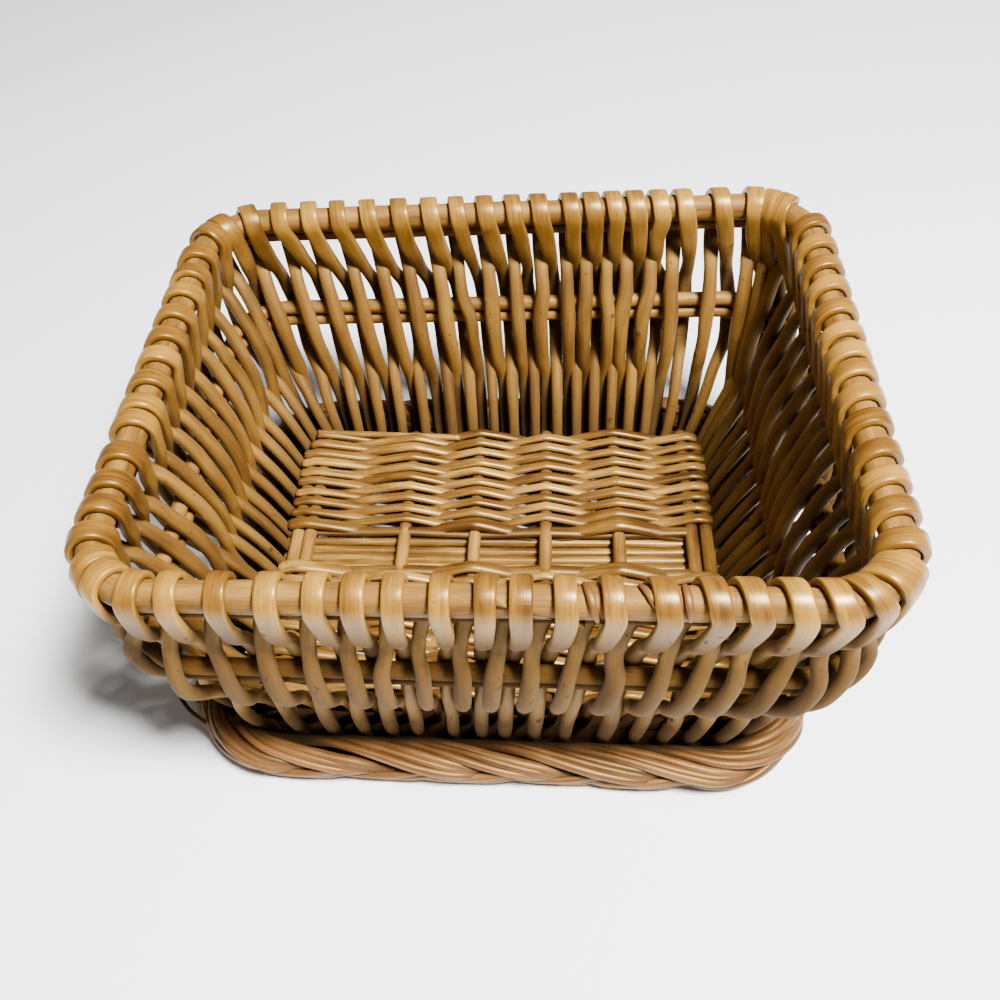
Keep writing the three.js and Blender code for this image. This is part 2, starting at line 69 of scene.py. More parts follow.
def place_on(outline, turn, offset=0.0):
    """Points, directions along and directions out on a rounded rectangle. A turn counts sides from the
    middle of the front left corner, counter-clockwise. Past the straight stretch of its side a point
    goes round the corner by its distance over the radius, and the offset moves it straight out."""
    length, width, radius = outline
    turn = np.asarray(turn, float)
    side = np.floor(turn).astype(int) % WALLS
    even = side % 2 == 0
    distance = np.where(even, width, length)
    straight = np.where(even, length, width) - radius
    along = (turn - np.floor(turn) - 0.5) * (2 * straight + radius * np.pi / 2)
    bend = np.sign(along) * np.maximum(0, np.abs(along) - straight) / radius
    across = np.clip(along, -straight, straight) + (radius + offset) * np.sin(bend)
    out = distance - radius + (radius + offset) * np.cos(bend)
    heading = side * np.pi / 2
    point = np.stack(
        [
            across * np.cos(heading) + out * np.sin(heading),
            across * np.sin(heading) - out * np.cos(heading),
        ],
        -1,
    )
    ahead = np.stack([np.cos(heading + bend), np.sin(heading + bend), 0 * bend], -1)
    outward = np.stack([ahead[..., 1], -ahead[..., 0], 0 * bend], -1)
    return point, ahead, outward


def unit(vectors):
    """Directions of length 1: each vector over its own length."""
    return vectors / np.maximum(np.linalg.norm(vectors, axis=-1, keepdims=True), 1e-9)


def evenly_spaced(rows, spacing):
    """Rows of a curve taken again at equal steps of its length, measured on the first three columns."""
    steps = np.linalg.norm(np.diff(rows[:, :3], axis=0), axis=1)
    gone = np.concatenate([[0], np.cumsum(steps)])
    wanted = np.linspace(0, gone[-1], max(4, int(round(gone[-1] / spacing)) + 1))
    return np.stack([np.interp(wanted, gone, rows[:, k]) for k in range(rows.shape[1])], -1)


# A rod's thickness wanders by three waves, each with a length and a share. A knot has its length, its
# angle and its lift. Each rod takes its grain from a place of its own along a very long one.
WAVES = np.array([70.0, 41.0, 23.0])
WAVE_SHARES = np.array([0.5, 0.3, 0.2])
KNOT = {"length": 2.2, "angle": 0.55, "lift": 0.09}
SQUARED = 0.6
GRAIN_LENGTH = 4000.0


def rod(
    path, first, width, thickness, faces, seed, wobble, knots, closed=False, cut=None, flat=0.0, dull=0.0
):
    """One willow rod: an ellipse carried along a path. A ring's point is the centre plus half the width
    times the cosine along the first direction and half the thickness times the sine along the second.
    Where the rod is pressed flat, cosine and sine are raised to a power below 1, which squares the
    section. Both sizes wander by smooth waves, and a knot raises the skin where its angle and length
    meet. How far painted shade darkens the skin, and how much rougher it grows, is given ring by ring or all
    round."""
    rng = np.random.default_rng(seed)
    n = len(path)
    width, thickness = np.broadcast_to(width, n), np.broadcast_to(thickness, n)
    if closed:
        tangent = unit(np.roll(path, -1, 0) - np.roll(path, 1, 0))
    else:
        tangent = unit(np.gradient(path, axis=0))
    first = np.broadcast_to(np.asarray(first, float), (n, 3))
    first = unit(first - np.sum(first * tangent, 1)[:, None] * tangent)
    second = np.cross(tangent, first)

    steps = np.linalg.norm(np.diff(path, axis=0), axis=1)
    gone = np.concatenate([[0], np.cumsum(steps)])
    total = gone[-1]
    angle = np.arange(faces) * 2 * np.pi / faces
    whole = np.round(total / WAVES) if closed else total / WAVES
    phase = rng.uniform(0, 2 * np.pi, 3)
    size = 1 + wobble * (np.sin(2 * np.pi * np.outer(gone / total, whole) + phase) @ WAVE_SHARES)
    knot = np.zeros((n, faces))
    for _ in range(knots):
        where, facing = rng.uniform(0.03, 0.97) * total, rng.uniform(0, 2 * np.pi)
        apart = np.angle(np.exp(1j * (angle - facing)))
        near = -(((gone - where) / KNOT["length"])[:, None] ** 2) - (apart / KNOT["angle"])[None, :] ** 2
        knot += np.exp(near)

    power = 1 - SQUARED * np.broadcast_to(np.asarray(flat, float), n)[:, None]
    across, through = np.cos(angle)[None, :], np.sin(angle)[None, :]
    swell = 1 + KNOT["lift"] * knot
    u = np.sign(across) * np.abs(across) ** power * (width * size / 2)[:, None] * swell
    v = np.sign(through) * np.abs(through) ** power * (thickness * size / 2)[:, None] * swell
    if cut is not None:
        u, v = cut(gone, total, u, v)
    points = path[:, None] + u[..., None] * first[:, None] + v[..., None] * second[:, None]
    skin = np.stack(
        [
            np.broadcast_to(np.cos(angle) * width.mean() / 2, (n, faces)),
            np.broadcast_to(np.sin(angle) * width.mean() / 2, (n, faces)),
            np.broadcast_to((gone + rng.uniform(0, GRAIN_LENGTH))[:, None], (n, faces)),
        ],
        -1,
    )

    rows = np.arange(n if closed else n - 1)
    i, j = np.meshgrid(rows, np.arange(faces), indexing="ij")
    here, there, beside = i * faces, (i + 1) % n * faces, (j + 1) % faces
    quads = np.stack([here + j, here + beside, there + beside, there + j], -1).reshape(-1, 4)
    points, skin = points.reshape(-1, 3), skin.reshape(-1, 3)
    tone = np.full(n * faces, rng.normal(0, 1))
    knot = knot.reshape(-1)
    dull = np.array(np.broadcast_to(dull, (n, faces)), float).reshape(-1)
    ends = np.zeros((0, 3), int)
    if not closed:
        middle = len(points)
        points = np.vstack([points, path[:1], path[-1:]])
        skin = np.vstack([skin, skin[:1], skin[-1:]])
        tone = np.concatenate([tone, tone[:2]])
        knot = np.concatenate([knot, [0, 0]])
        dull = np.concatenate([dull, [dull[0], dull[-1]]])
        k = np.arange(faces)
        last = (n - 1) * faces
        ends = np.vstack(
            [
                np.stack([np.full(faces, middle), (k + 1) % faces, k], -1),
                np.stack([np.full(faces, middle + 1), last + k, last + (k + 1) % faces], -1),
            ]
        )
    return {
        "points": points,
        "quads": quads,
        "ends": ends,
        "skin": skin,
        "tone": tone,
        "knot": knot,
        "dull": dull,
    }


def put_together(name, rods, material, nodes):
    """One piece of several rods: their vertices are stacked and their faces counted on."""
    shift = np.cumsum([0] + [len(r["points"]) for r in rods[:-1]])
    quads = np.vstack([r["quads"] + s for r, s in zip(rods, shift)])
    ends = np.vstack([r["ends"] + s for r, s in zip(rods, shift)])
    points = np.vstack([r["points"] for r in rods]) * MM
    mesh = bpy.data.meshes.new(name)
    mesh.vertices.add(len(points))
    mesh.vertices.foreach_set("co", points.astype(np.float32).ravel())
    mesh.loops.add(quads.size + ends.size)
    mesh.loops.foreach_set("vertex_index", np.concatenate([quads.ravel(), ends.ravel()]).astype(np.int32))
    counts = np.concatenate([np.full(len(quads), 4), np.full(len(ends), 3)])
    mesh.polygons.add(len(counts))
    mesh.polygons.foreach_set("loop_start", (np.cumsum(counts) - counts).astype(np.int32))
    mesh.polygons.foreach_set("use_smooth", counts == 4)
    mesh.update(calc_edges=True)
    for key, kind, field in (
        ("skin", "FLOAT_VECTOR", "vector"),
        ("tone", "FLOAT", "value"),
        ("knot", "FLOAT", "value"),
        ("dull", "FLOAT", "value"),
    ):
        values = np.concatenate([r[key] for r in rods]).astype(np.float32)
        mesh.attributes.new(key, kind, "POINT").data.foreach_set(field, values.ravel())
    mesh.materials.append(material)
    piece = bpy.data.objects.new(name, mesh)
    bpy.context.scene.collection.objects.link(piece)
    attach(piece, "root")
    if nodes:
        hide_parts(*nodes)


class Value:
    """A shader value that can be written in an expression: each operator adds its Math node."""

    def __init__(self, tree, socket=None):
        self.tree, self.socket = tree, socket

    def node(self, kind, out=0, settings=(), **sockets):
        """Adds a node of a kind, sets its settings, then its sockets, by name or as s and a number."""
        made = self.tree.nodes.new(kind)
        for key, value in dict(settings).items():
            if key == "stops":
                ramp = made.color_ramp
                while len(ramp.elements) < len(value):
                    ramp.elements.new(0.5)
                for element, (position, colour) in zip(ramp.elements, value):
                    element.position, element.color = position, (*colour, 1)
            else:
                setattr(made, key, value)
        for key, value in sockets.items():
            socket = made.inputs[int(key[1:])] if key[1:].isdigit() else made.inputs[key]
            if isinstance(value, Value):
                self.tree.links.new(value.socket, socket)
            else:
                socket.default_value = value
        return Value(self.tree, made.outputs[out])

    def math(self, operation, first, second):
        return self.node("ShaderNodeMath", settings={"operation": operation}, s0=first, s1=second)

    def __add__(self, other):
        return self.math("ADD", self, other)

    def __radd__(self, other):
        return self.math("ADD", self, other)

    def __sub__(self, other):
        return self.math("SUBTRACT", self, other)

    def __rsub__(self, other):
        return self.math("SUBTRACT", other, self)

    def __mul__(self, other):
        return self.math("MULTIPLY", self, other)

    def __rmul__(self, other):
        return self.math("MULTIPLY", self, other)


def willow(name, pale, middle, deep, gloss, streak, spread=0.5, shine=0.6):
    """Peeled and boiled willow. The colour runs from deep to pale by slow patches along the rod, by
    the rod's own tone and by fine streaks of grain. Knots and tiny specks are dark, and creases are
    darkened as painted shade in their grooves. Painted shade, given with each rod, darkens the rods
    and makes them rougher. The skin is glossy, and duller where it is deep in colour. Fine grain and
    knots raise it a little."""
    material = bpy.data.materials.new(name)
    material.use_nodes = True
    tree = material.node_tree
    shader = tree.nodes["Principled BSDF"]
    start = Value(tree)
    skin, tone, knot, dull = (
        start.node("ShaderNodeAttribute", out=out, settings={"attribute_name": key})
        for key, out in (("skin", 1), ("tone", 2), ("knot", 2), ("dull", 2))
    )

    def stretched(across, along, scale, detail):
        """Noise on the skin, drawn out along the rod where along is less than across."""
        place = start.node(
            "ShaderNodeVectorMath", settings={"operation": "MULTIPLY"}, s0=skin, s1=(across, across, along)
        )
        return start.node("ShaderNodeTexNoise", Vector=place, Scale=scale, Detail=detail, Roughness=0.55)

    def rising(value, low, high, top):
        """From 0 where the value is low to top where it is high, and level beyond."""
        return start.node(
            "ShaderNodeMapRange", settings={"clamp": True}, s0=value, s1=low, s2=high, s3=0.0, s4=top
        )

    grain = stretched(1.0, 0.035, 1.5, 4.0)
    fibre = stretched(1.0, 0.015, 4.0, 2.0)
    patch = stretched(0.12, 0.022, 1.0, 3.0)
    speck = stretched(0.5, 0.3, 0.9, 1.0)
    crease = stretched(0.05, 1.0, 0.35, 2.0)
    streaks = (grain - 0.5) * streak + (fibre - 0.5) * 0.5 * streak
    warm = 0.5 + (patch - 0.5) * 1.5 + streaks + tone * 0.11 * spread
    colour = start.node(
        "ShaderNodeValToRGB", settings={"stops": [(0.12, deep), (0.5, middle), (0.88, pale)]}, Fac=warm
    )
    # Creases are darkened as painted shade, and each rod's own painted shade is added; specks and knots are
    # real marks.
    lines = rising(crease, 0.66, 0.74, 0.3)
    marks = rising(speck, 0.70, 0.78, 0.45) + rising(knot, 0.35, 1.0, 0.7) + lines
    marks_and_shade = rising(marks + dull + (patch - 0.5) * dull * 1.2, 0.0, 1.0, 1.0)
    marks_and_shade_colour = (deep[0] * 0.38, deep[1] * 0.30, deep[2] * 0.25, 1)
    finish = start.node(
        "ShaderNodeMix", out=2, settings={"data_type": "RGBA"}, s0=marks_and_shade, s6=colour, s7=marks_and_shade_colour
    )
    rough = gloss + (0.5 - patch) * 0.2 + (grain - 0.5) * 0.15 + marks_and_shade * 0.75
    relief = grain * 0.5 + fibre * 0.3 + knot * 0.6 - lines * 1.2
    bump = start.node("ShaderNodeBump", Height=relief, Strength=0.35, Distance=0.0004)
    tree.links.new(finish.socket, shader.inputs["Base Color"])
    tree.links.new(rough.socket, shader.inputs["Roughness"])
    tree.links.new(bump.socket, shader.inputs["Normal"])
    shader.inputs["Specular IOR Level"].default_value = shine
    shader.inputs["Specular Tint"].default_value = (1.0, 0.70, 0.30, 1)
    return material


honey = willow(
    "honey_willow",
    pale=(0.25, 0.130, 0.028),
    middle=(0.145, 0.068, 0.012),
    deep=(0.060, 0.022, 0.004),
    gloss=0.5,
    streak=0.7,
    shine=0.4,
)


def hoop(height, diameter, start, seed, painted_shade, cut=None):
    """A rod bent once round the wall at a height, from a turn on, and past both its ends by half a scarf
    where they are cut. Its skin is darkened and roughened by painted shade after the cosine of the angle
    from straight out, most on its outer side."""
    past = 0.0 if cut is None else SCARF["length"] / RIM["around"] * WALLS / 2
    turns = np.linspace(start - past, start + WALLS + past, 420 if cut is None else 440)
    point, _, outward = place_on(wall_at(height), turns)
    path = np.column_stack([point, np.full(len(turns), float(height))])
    rows = evenly_spaced(np.column_stack([path, outward]), spacing=2.6)
    path, outward = rows[:, :3], rows[:, 3:]
    angle = np.arange(THICK_ROD_FACES) * 2 * np.pi / THICK_ROD_FACES
    outer = painted_shade * np.clip(np.cos(angle) + 0.4, 0, 1)[None, :]
    return rod(
        path, outward, diameter, diameter, THICK_ROD_FACES, seed, wobble=0.03, knots=8, cut=cut, dull=outer
    )


def scarf(gone, total, u, v):
    """Cuts both ends of the rim rod to one slanted plane: over the joint's length the cut runs from
    the skin above to the skin below, and each end keeps its own side of it."""
    gone, left = gone[:, None], (total - gone)[:, None]

    def level(distance):
        return RIM["diameter"] / 2 * (1 - 2 * np.clip(distance / SCARF["length"], 0, 1))

    v = np.where(gone < SCARF["length"], np.minimum(v, -level(gone)), v)
    v = np.where(left < SCARF["length"], np.maximum(v, level(left) + SCARF["gap"]), v)
    return u, v


# The rim rod takes a little painted shade on its outer side.
rim = hoop(RIM["height"], RIM["diameter"], start=0.58, seed=11, painted_shade=0.12, cut=scarf)
put_together("rim_rod_bent", [rim], honey, ["rim_rod"])


# The hoops: a thin rod right under the rim rod and two rods round the middle of the wall, one above
# the other. The stakes pass inside and outside of them, which locks them, and their ends meet.
HOOPS = {
    "under_rim_rod": {"height": 143.4, "diameter": 5.4},
    "mid_rod_upper": {"height": 96.4, "diameter": 8.6},
    "mid_rod_lower": {"height": 88.4, "diameter": 6.8},
}
# Each hoop takes painted shade on its outer side.
for number, (node, size) in enumerate(HOOPS.items()):
    bent = hoop(size["height"], size["diameter"], start=1.15 + 0.9 * number, seed=21 + number, painted_shade=0.6)
    put_together(node + "_bent", [bent], honey, [node])


# The stakes: seventy-two long rods looped over the rim rod. The outer leg of each comes down outside the
# wall, passes inside the middle hoops and stands on the border's inner side. The inner leg does the
# opposite, half a pitch before it. Over the rim each is pressed flat, and neighbours cross twice.
SIDE_NAMES = ["front", "right", "back", "left"]
# Where the loops lie along the rim, in millimetres from the middle of each side.
LOOPS = [
    [
        -153, -138, -122.5, -102, -81.5, -62.3, -46.8, -31.1, -12.8, 4.9, 18.6, 35.6, 53.6, 73.2, 92, 106,
        121.8, 136, 147.6,
    ],
    [-129, -123, -109.5, -92.5, -76, -60, -41.5, -25, -9, 4, 18.5, 36, 54.5, 72, 90, 109],
    [
        -156, -148, -139, -120.3, -100.9, -87.7, -74.9, -63.1, -51.2, -39.3, -22.3, -7.9, 7.7, 23.5, 38.8, 56,
        73.9, 91.4, 107.9, 125.2, 143.2,
    ],
    [-128, -117.6, -95.7, -77.8, -60.7, -41.7, -23.5, -6.9, 10.5, 27.9, 39.7, 61.6, 79.2, 94.2, 110.3, 126.2],
]
# How stout the stakes of each side are, how far out their feet reach along the sides, between which
# heights a leg leans, and how far a loop slants along the rim.
STOUT = [1.0, 1.04, 1.1, 1.08]
FEET = {"half_length": 136.0, "half_width": 98.0, "behind": 8.0}
LEG = {"low": 17.0, "high": 150.0}
SLANT = {"front": 7.0, "elsewhere": 4.5, "before": 0.35}
UNEVEN = {"bend": 0.9, "stout": 0.06}
STRAP = {"width": 8.9, "thickness": 3.6, "gap": 0.2}
OVER = RIM["diameter"] / 2 + STRAP["gap"] + STRAP["thickness"] / 2
# Rows of a leg: height, offset from the wall, width, thickness, how flat, and which of its six bends.
OUTER_LEG = [
    [1.5, 5.5, 5.4, 5.4, 0.0, 0],
    [12, 7.2, 6.2, 5.8, 0.0, 0],
    [28, 6.2, 6.8, 6.2, 0.0, 0],
    [46, 2.8, 7.0, 6.8, 0.0, 0],
    [62, -3.8, 7.2, 7.2, 0.0, 1],
    [78, -7.8, 7.4, 7.4, 0.0, 1],
    [92, -8.3, 8.2, 7.4, 0.0, 1],
    [105, -6.6, 7.6, 7.0, 0.1, 2],
    [118, -3.2, 7.0, 6.4, 0.3, 2],
    [129, 3.4, 8.2, 5.8, 0.6, 2],
    [141, OVER - 1.6, 8.4, 4.4, 0.9, 2],
]
INNER_LEG = [
    [141, -OVER + 2.6, 8.4, 4.4, 0.9, 3],
    [130, -3.6, 7.8, 5.4, 0.6, 3],
    [118, 2.0, 6.8, 6.4, 0.3, 3],
    [106, 7.0, 7.4, 7.0, 0.1, 4],
    [93, 8.8, 8.0, 7.4, 0.0, 4],
    [80, 8.4, 7.8, 7.4, 0.0, 4],
    [67, 4.4, 7.2, 7.2, 0.0, 4],
    [54, -1.6, 6.6, 6.8, 0.0, 5],
    [40, -4.6, 6.2, 6.4, 0.0, 5],
    [26, -5.0, 5.8, 5.8, 0.0, 5],
    [14, -4.0, 5.6, 5.6, 0.0, 5],
    [3, -3.4, 5.4, 5.4, 0.0, 5],
]
# An inner leg leans over to its loop between these heights, and later on the front.
LEANS = {"front": (126.0, 152.0), "elsewhere": (86.0, 152.0)}


def smooth_along(values, count):
    """Values at evenly spread shares of a curve through control rows: each span is the cubic whose
    slope at a control row is half the step between its two neighbours."""
    values = np.asarray(values, float)
    ends = np.vstack([2 * values[0] - values[1], values, 2 * values[-1] - values[-2]])
    share = np.linspace(0, len(values) - 1, count)
    span = np.minimum(share.astype(int), len(values) - 2)
    t = (share - span)[:, None]
    a, b, c, d = (ends[span + i] for i in range(4))
    return 0.5 * (2 * b + (c - a) * t + (2 * a - 5 * b + 4 * c - d) * t**2 + (3 * b - a - 3 * c + d) * t**3)


def side_length(height, side):
    """Length of one side of the wall's outline, from the middle of one corner to that of the next."""
    length, width, radius = wall_at(height)
    return 2 * ((length if side % 2 == 0 else width) - radius) + radius * np.pi / 2


def along_side(side, number):
    """Where a leg stands, in millimetres along its side: at the rim and at the foot. Half numbers lie
    midway between two stakes. The feet are drawn in and stand a little before the loops."""
    last = (side + 3) % WALLS
    half = side_length(RIM["height"], side) / 2
    before = LOOPS[last][-1] - side_length(RIM["height"], last) / 2 - half
    top = np.interp(number, np.arange(-1, len(LOOPS[side])), [before] + LOOPS[side])
    reach = FEET["half_length"] if side % 2 == 0 else FEET["half_width"]
    return top, reach * top / half - FEET["behind"]


def turn_down(side, top, foot, height):
    """Turn of a leg at a height. From the rim to its low end a leg leans straight along its side,
    and near a corner it turns with the corner instead."""
    share = np.clip((height - LEG["low"]) / (LEG["high"] - LEG["low"]), 0, 1)
    share = (share + share**2) / 2
    straight = (foot + (top - foot) * share) / side_length(height, side)
    ends = foot / side_length(LEG["low"], side), top / side_length(RIM["height"], side)
    turned = ends[0] + (ends[1] - ends[0]) * share
    bent = np.minimum(1, np.abs(2 * turned)) ** 5
    return side + 0.5 + straight * (1 - bent) + turned * bent


# Painted shade on the stakes: darker below the rim, more outside the wall than inside, and darker again near
# the border.
LEG_SHADE = {"all": 0.38, "outside": 0.40, "below": 153.0, "fade": 22.0}
FOOT_SHADE = {"most": 0.40, "below": 48.0, "fade": 30.0}


def shaded_leg(height, offset):
    """How much painted shade a stake takes, which also makes it rougher: more outside the wall than inside,
    growing in a straight line from the rim down, and again near the border."""
    skin = LEG_SHADE["all"] + LEG_SHADE["outside"] * np.clip(offset / 4, 0, 1)
    skin = skin * np.clip((LEG_SHADE["below"] - height) / LEG_SHADE["fade"], 0, 1)
    return skin + FOOT_SHADE["most"] * np.clip((FOOT_SHADE["below"] - height) / FOOT_SHADE["fade"], 0, 1)


def stake_rod(side, number, seed):
    """One stake: control rows of turn, height, offset from the wall, width, thickness and flatness, then
    a smooth curve through them. The first rows climb the outer leg, the middle rows go over the rim rod
    as a flat strap and the last rows go down the inner leg."""
    rng = np.random.default_rng(seed)
    top, foot = along_side(side, number)
    inner_top, inner_foot = along_side(side, number - 0.5)
    stray = rng.normal(0, UNEVEN["bend"], 6)
    stout = STOUT[side] * (1 + rng.normal(0, UNEVEN["stout"]))
    slant = SLANT["front"] * np.clip((top - 20) / 90, 0, 1) if side == 0 else SLANT["elsewhere"]
    front, behind = top + SLANT["before"] * slant, top - (1 - SLANT["before"]) * slant
    rim_side = side_length(RIM["height"], side)
    rows = []
    for height, offset, wide, thick, pressed, bend in OUTER_LEG:
        turn = turn_down(side, front, foot, height) + stray[bend] / rim_side
        rows.append([turn, height, offset, wide * stout, thick, pressed])
    wide = STRAP["width"] * (0.6 * stout + 0.4)
    for share in np.linspace(0, 1, 7):
        angle = np.pi * (share * 1.04 - 0.02)
        turn = side + 0.5 + (front + (behind - front) * share) / rim_side
        lift, reach = OVER * np.sin(angle), OVER * np.cos(angle)
        rows.append([turn, RIM["height"] + lift, reach, wide, STRAP["thickness"], 1.0])
    low, high = LEANS["front" if side == 0 else "elsewhere"]
    for height, offset, wide, thick, pressed, bend in INNER_LEG:
        share = np.clip((height - low) / (high - low), 0, 1)
        above = inner_top + (behind - inner_top) * share
        turn = turn_down(side, above, inner_foot, height) + stray[bend] / rim_side
        rows.append([turn, height, offset, wide * stout, thick, pressed])
    turn, height, offset, width, thickness, pressed = smooth_along(rows, count=330).T
    point, ahead, _ = place_on(wall_at(height), turn, offset)
    rows = np.column_stack([point, height, ahead, width, thickness, pressed, offset])
    rows = evenly_spaced(rows, spacing=1.8)
    path, ahead, (width, thickness, pressed, offset) = rows[:, :3], rows[:, 3:6], rows[:, 6:].T
    # Painted shade along the stake.
    painted_shade = shaded_leg(path[:, 2], offset)[:, None]
    flat = np.clip(pressed, 0, 1)
    return rod(
        path, ahead, width, thickness, THICK_ROD_FACES, seed, wobble=0.035, knots=3, flat=flat, dull=painted_shade
    )


golden = willow(
    "golden_willow",
    pale=(0.28, 0.138, 0.018),
    middle=(0.148, 0.066, 0.007),
    deep=(0.056, 0.019, 0.002),
    gloss=0.35,
    streak=0.65,
    spread=0.8,
    shine=0.8,
)
stakes = [(side, number) for side in range(WALLS) for number in range(len(LOOPS[side]))]
pairs = [0] * WALLS
for index in range(0, len(stakes), 2):
    side = stakes[index][0]
    pairs[side] += 1
    label = f"{SIDE_NAMES[side]}_{pairs[side]:02d}"
    both = [stake_rod(*stakes[index + i], 100 + index + i) for i in range(2)]
    put_together("looped_stakes_" + label, both, golden, ["stake_pair_" + label])


# The foot border: four strands of thin reddish rods, laid up like a rope round the stakes' feet. The
# basket stands on it. One rod of each strand runs round among the feet and closes it there; it is
# darkened all over, painted shade for the dark gap among the feet.
BORDER = {"outline": [147.4, 126.4, 43.0], "height": 10.0, "lowest": 2.3, "rod": 4.8, "rods": 6}
STRANDS = 4
TWISTS = 3
THIN_ROD_FACES = 10
# One turn of a bundle: share of the turn, angle from the top over the outside in degrees, and reach.
LAY = np.array(
    [
        [0.00, -55, 7.4],
        [0.05, -24, 8.4],
        [0.10, 6, 9.0],
        [0.15, 34, 9.2],
        [0.20, 58, 8.8],
        [0.235, 76, 7.4],
        [0.265, 100, 5.2],
        [0.30, 128, 6.4],
        [0.33, 141, 8.3],
        [0.37, 132, 8.8],
        [0.41, 115, 8.2],
        [0.45, 98, 6.2],
        [0.50, 120, 4.4],
        [0.60, 175, 5.5],
        [0.70, 210, 7.0],
        [0.80, 245, 7.6],
        [0.90, 278, 7.6],
        [1.00, 305, 7.4],
    ]
)
LAY_CURVE = smooth_along(np.vstack([LAY[-3:-1] - [1, 360, 0], LAY, LAY[1:3] + [1, 360, 0]]), count=400)
# The second bundle follows the first by this share of a turn. The rods of a bundle keep apart by an
# angle in radians and a reach, which go from nearly none where the bundle's reach is shut to all where
# it is open.
SECOND_BUNDLE = 0.115
BUNDLE = {"angle": 0.33, "reach": 0.3, "shut": 4.4, "open": 8.0}
# The rods among the feet: offset from the wall's foot, height and diameter.
AMONG_FEET = [(-11.8, 5.0, 6.0), (-6.2, 3.8, 6.2), (0.9, 3.8, 6.8), (7.8, 4.4, 6.0)]
# The thin end of one rod stands out of the third strand in a small loop at the front left.
ROD_END = [
    [-147, -113, 15],
    [-155, -108.5, 18],
    [-161, -102.5, 19.5],
    [-163, -98, 20],
    [-161.5, -94.8, 20],
    [-157.5, -96, 19],
    [-154, -100, 17],
    [-147, -104, 13],
]


def border_rod(strand, number, seed):
    """One rod of a strand. A strand is two bundles of three rods. Seen from outside a bundle comes over
    the top, runs down the face with its rods side by side, dives under the next one, shows again at the
    lower edge and turns up there. Its rods keep apart by an angle that shrinks where it dives, and
    they are darkened there and on the inner side: painted shade in the pit and on the side that faces in."""
    rng = np.random.default_rng(seed)
    point, _, outward = place_on(BORDER["outline"], np.linspace(0, WALLS, 1500, endpoint=False))
    path = np.column_stack([point, np.full(len(point), BORDER["height"])])
    steps = np.linalg.norm(np.diff(np.vstack([path, path[:1]]), axis=0), axis=1)
    gone = np.concatenate([[0], np.cumsum(steps)[:-1]]) / steps.sum()
    wave = 2 * np.pi * gone
    second, member = divmod(number, 3)
    member = member - 1
    turned = TWISTS * gone + strand / STRANDS + SECOND_BUNDLE * second
    share = (turned + 0.015 * np.sin(4 * wave + 9 * strand + second)) % 1
    lay = np.radians(np.interp(share, LAY_CURVE[:, 0], LAY_CURVE[:, 1]))
    reach = np.interp(share, LAY_CURVE[:, 0], LAY_CURVE[:, 2])
    spread = np.clip((reach - BUNDLE["shut"]) / (BUNDLE["open"] - BUNDLE["shut"]), 0.1, 1)
    lay = lay + member * BUNDLE["angle"] * spread + 0.05 * np.sin(5 * wave + rng.uniform(0, 6.3))
    reach = reach + 0.35 * np.sin(7 * wave + rng.uniform(0, 6.3)) + member * BUNDLE["reach"] * spread
    path = path + (reach * np.sin(lay))[:, None] * outward
    path[:, 2] = np.maximum(path[:, 2] + reach * np.cos(lay), BORDER["lowest"])
    diameter = BORDER["rod"] + rng.normal(0, 0.35)
    pit_and_inside_shade = np.clip(-np.sin(lay) * 1.4 - 0.2, 0, 0.75) + 0.8 * (1 - spread)
    path, outward, pit_and_inside_shade = path[::3], outward[::3], pit_and_inside_shade[::3, None]
    return rod(
        path, outward, diameter, diameter, THIN_ROD_FACES, seed, wobble=0.07, knots=6, closed=True, dull=pit_and_inside_shade
    )


def inner_rod(offset, height, diameter, seed):
    """A rod round the inside of the feet, at an offset from the wall's foot, waving by a millimetre. It is
    darkened all over by painted shade.
    """
    rng = np.random.default_rng(seed)
    turns = np.linspace(0, WALLS, 400, endpoint=False)
    sway = 0.8 * np.sin(2 * np.pi * turns * 2 + rng.uniform(0, 6.3))
    point, _, outward = place_on(wall_at(FOOT["height"]), turns, offset + sway)
    path = np.column_stack([point, height + 0.8 * np.cos(2 * np.pi * turns * 3)])
    return rod(
        path, outward, diameter, diameter, THIN_ROD_FACES, seed, wobble=0.06, knots=4, closed=True, dull=0.9
    )


russet = willow(
    "russet_willow",
    pale=(0.155, 0.068, 0.020),
    middle=(0.078, 0.029, 0.007),
    deep=(0.026, 0.008, 0.002),
    gloss=0.46,
    streak=0.9,
    spread=1.1,
)
for strand in range(STRANDS):
    rods = [border_rod(strand, k, 400 + 10 * strand + k) for k in range(BORDER["rods"])]
    rods.append(inner_rod(*AMONG_FEET[strand], 480 + strand))
    if strand == 2:
        end = smooth_along(ROD_END, count=60)
        rods.append(rod(end, (0, 0, 1), 2.4, 2.4, faces=8, seed=490, wobble=0.05, knots=0, dull=0.6))
    node = f"foot_border_strand_{strand + 1}"
    put_together(f"border_strand_{strand + 1}", rods, russet, [node])


# Three slivers of reddish bark, torn from the stakes and left lying over the front of the rim. Each row
# is where it starts and ends along the rim, then its first and last angle over the rim, in degrees.
SLIVERS = [(42.6, 48.5, -35, 125), (63.5, 70.5, -25, 60), (80.0, 82.2, -30, 100)]
SLIVER = {"width": 3.2, "thickness": 1.3, "gap": 0.7, "bow": 0.5}


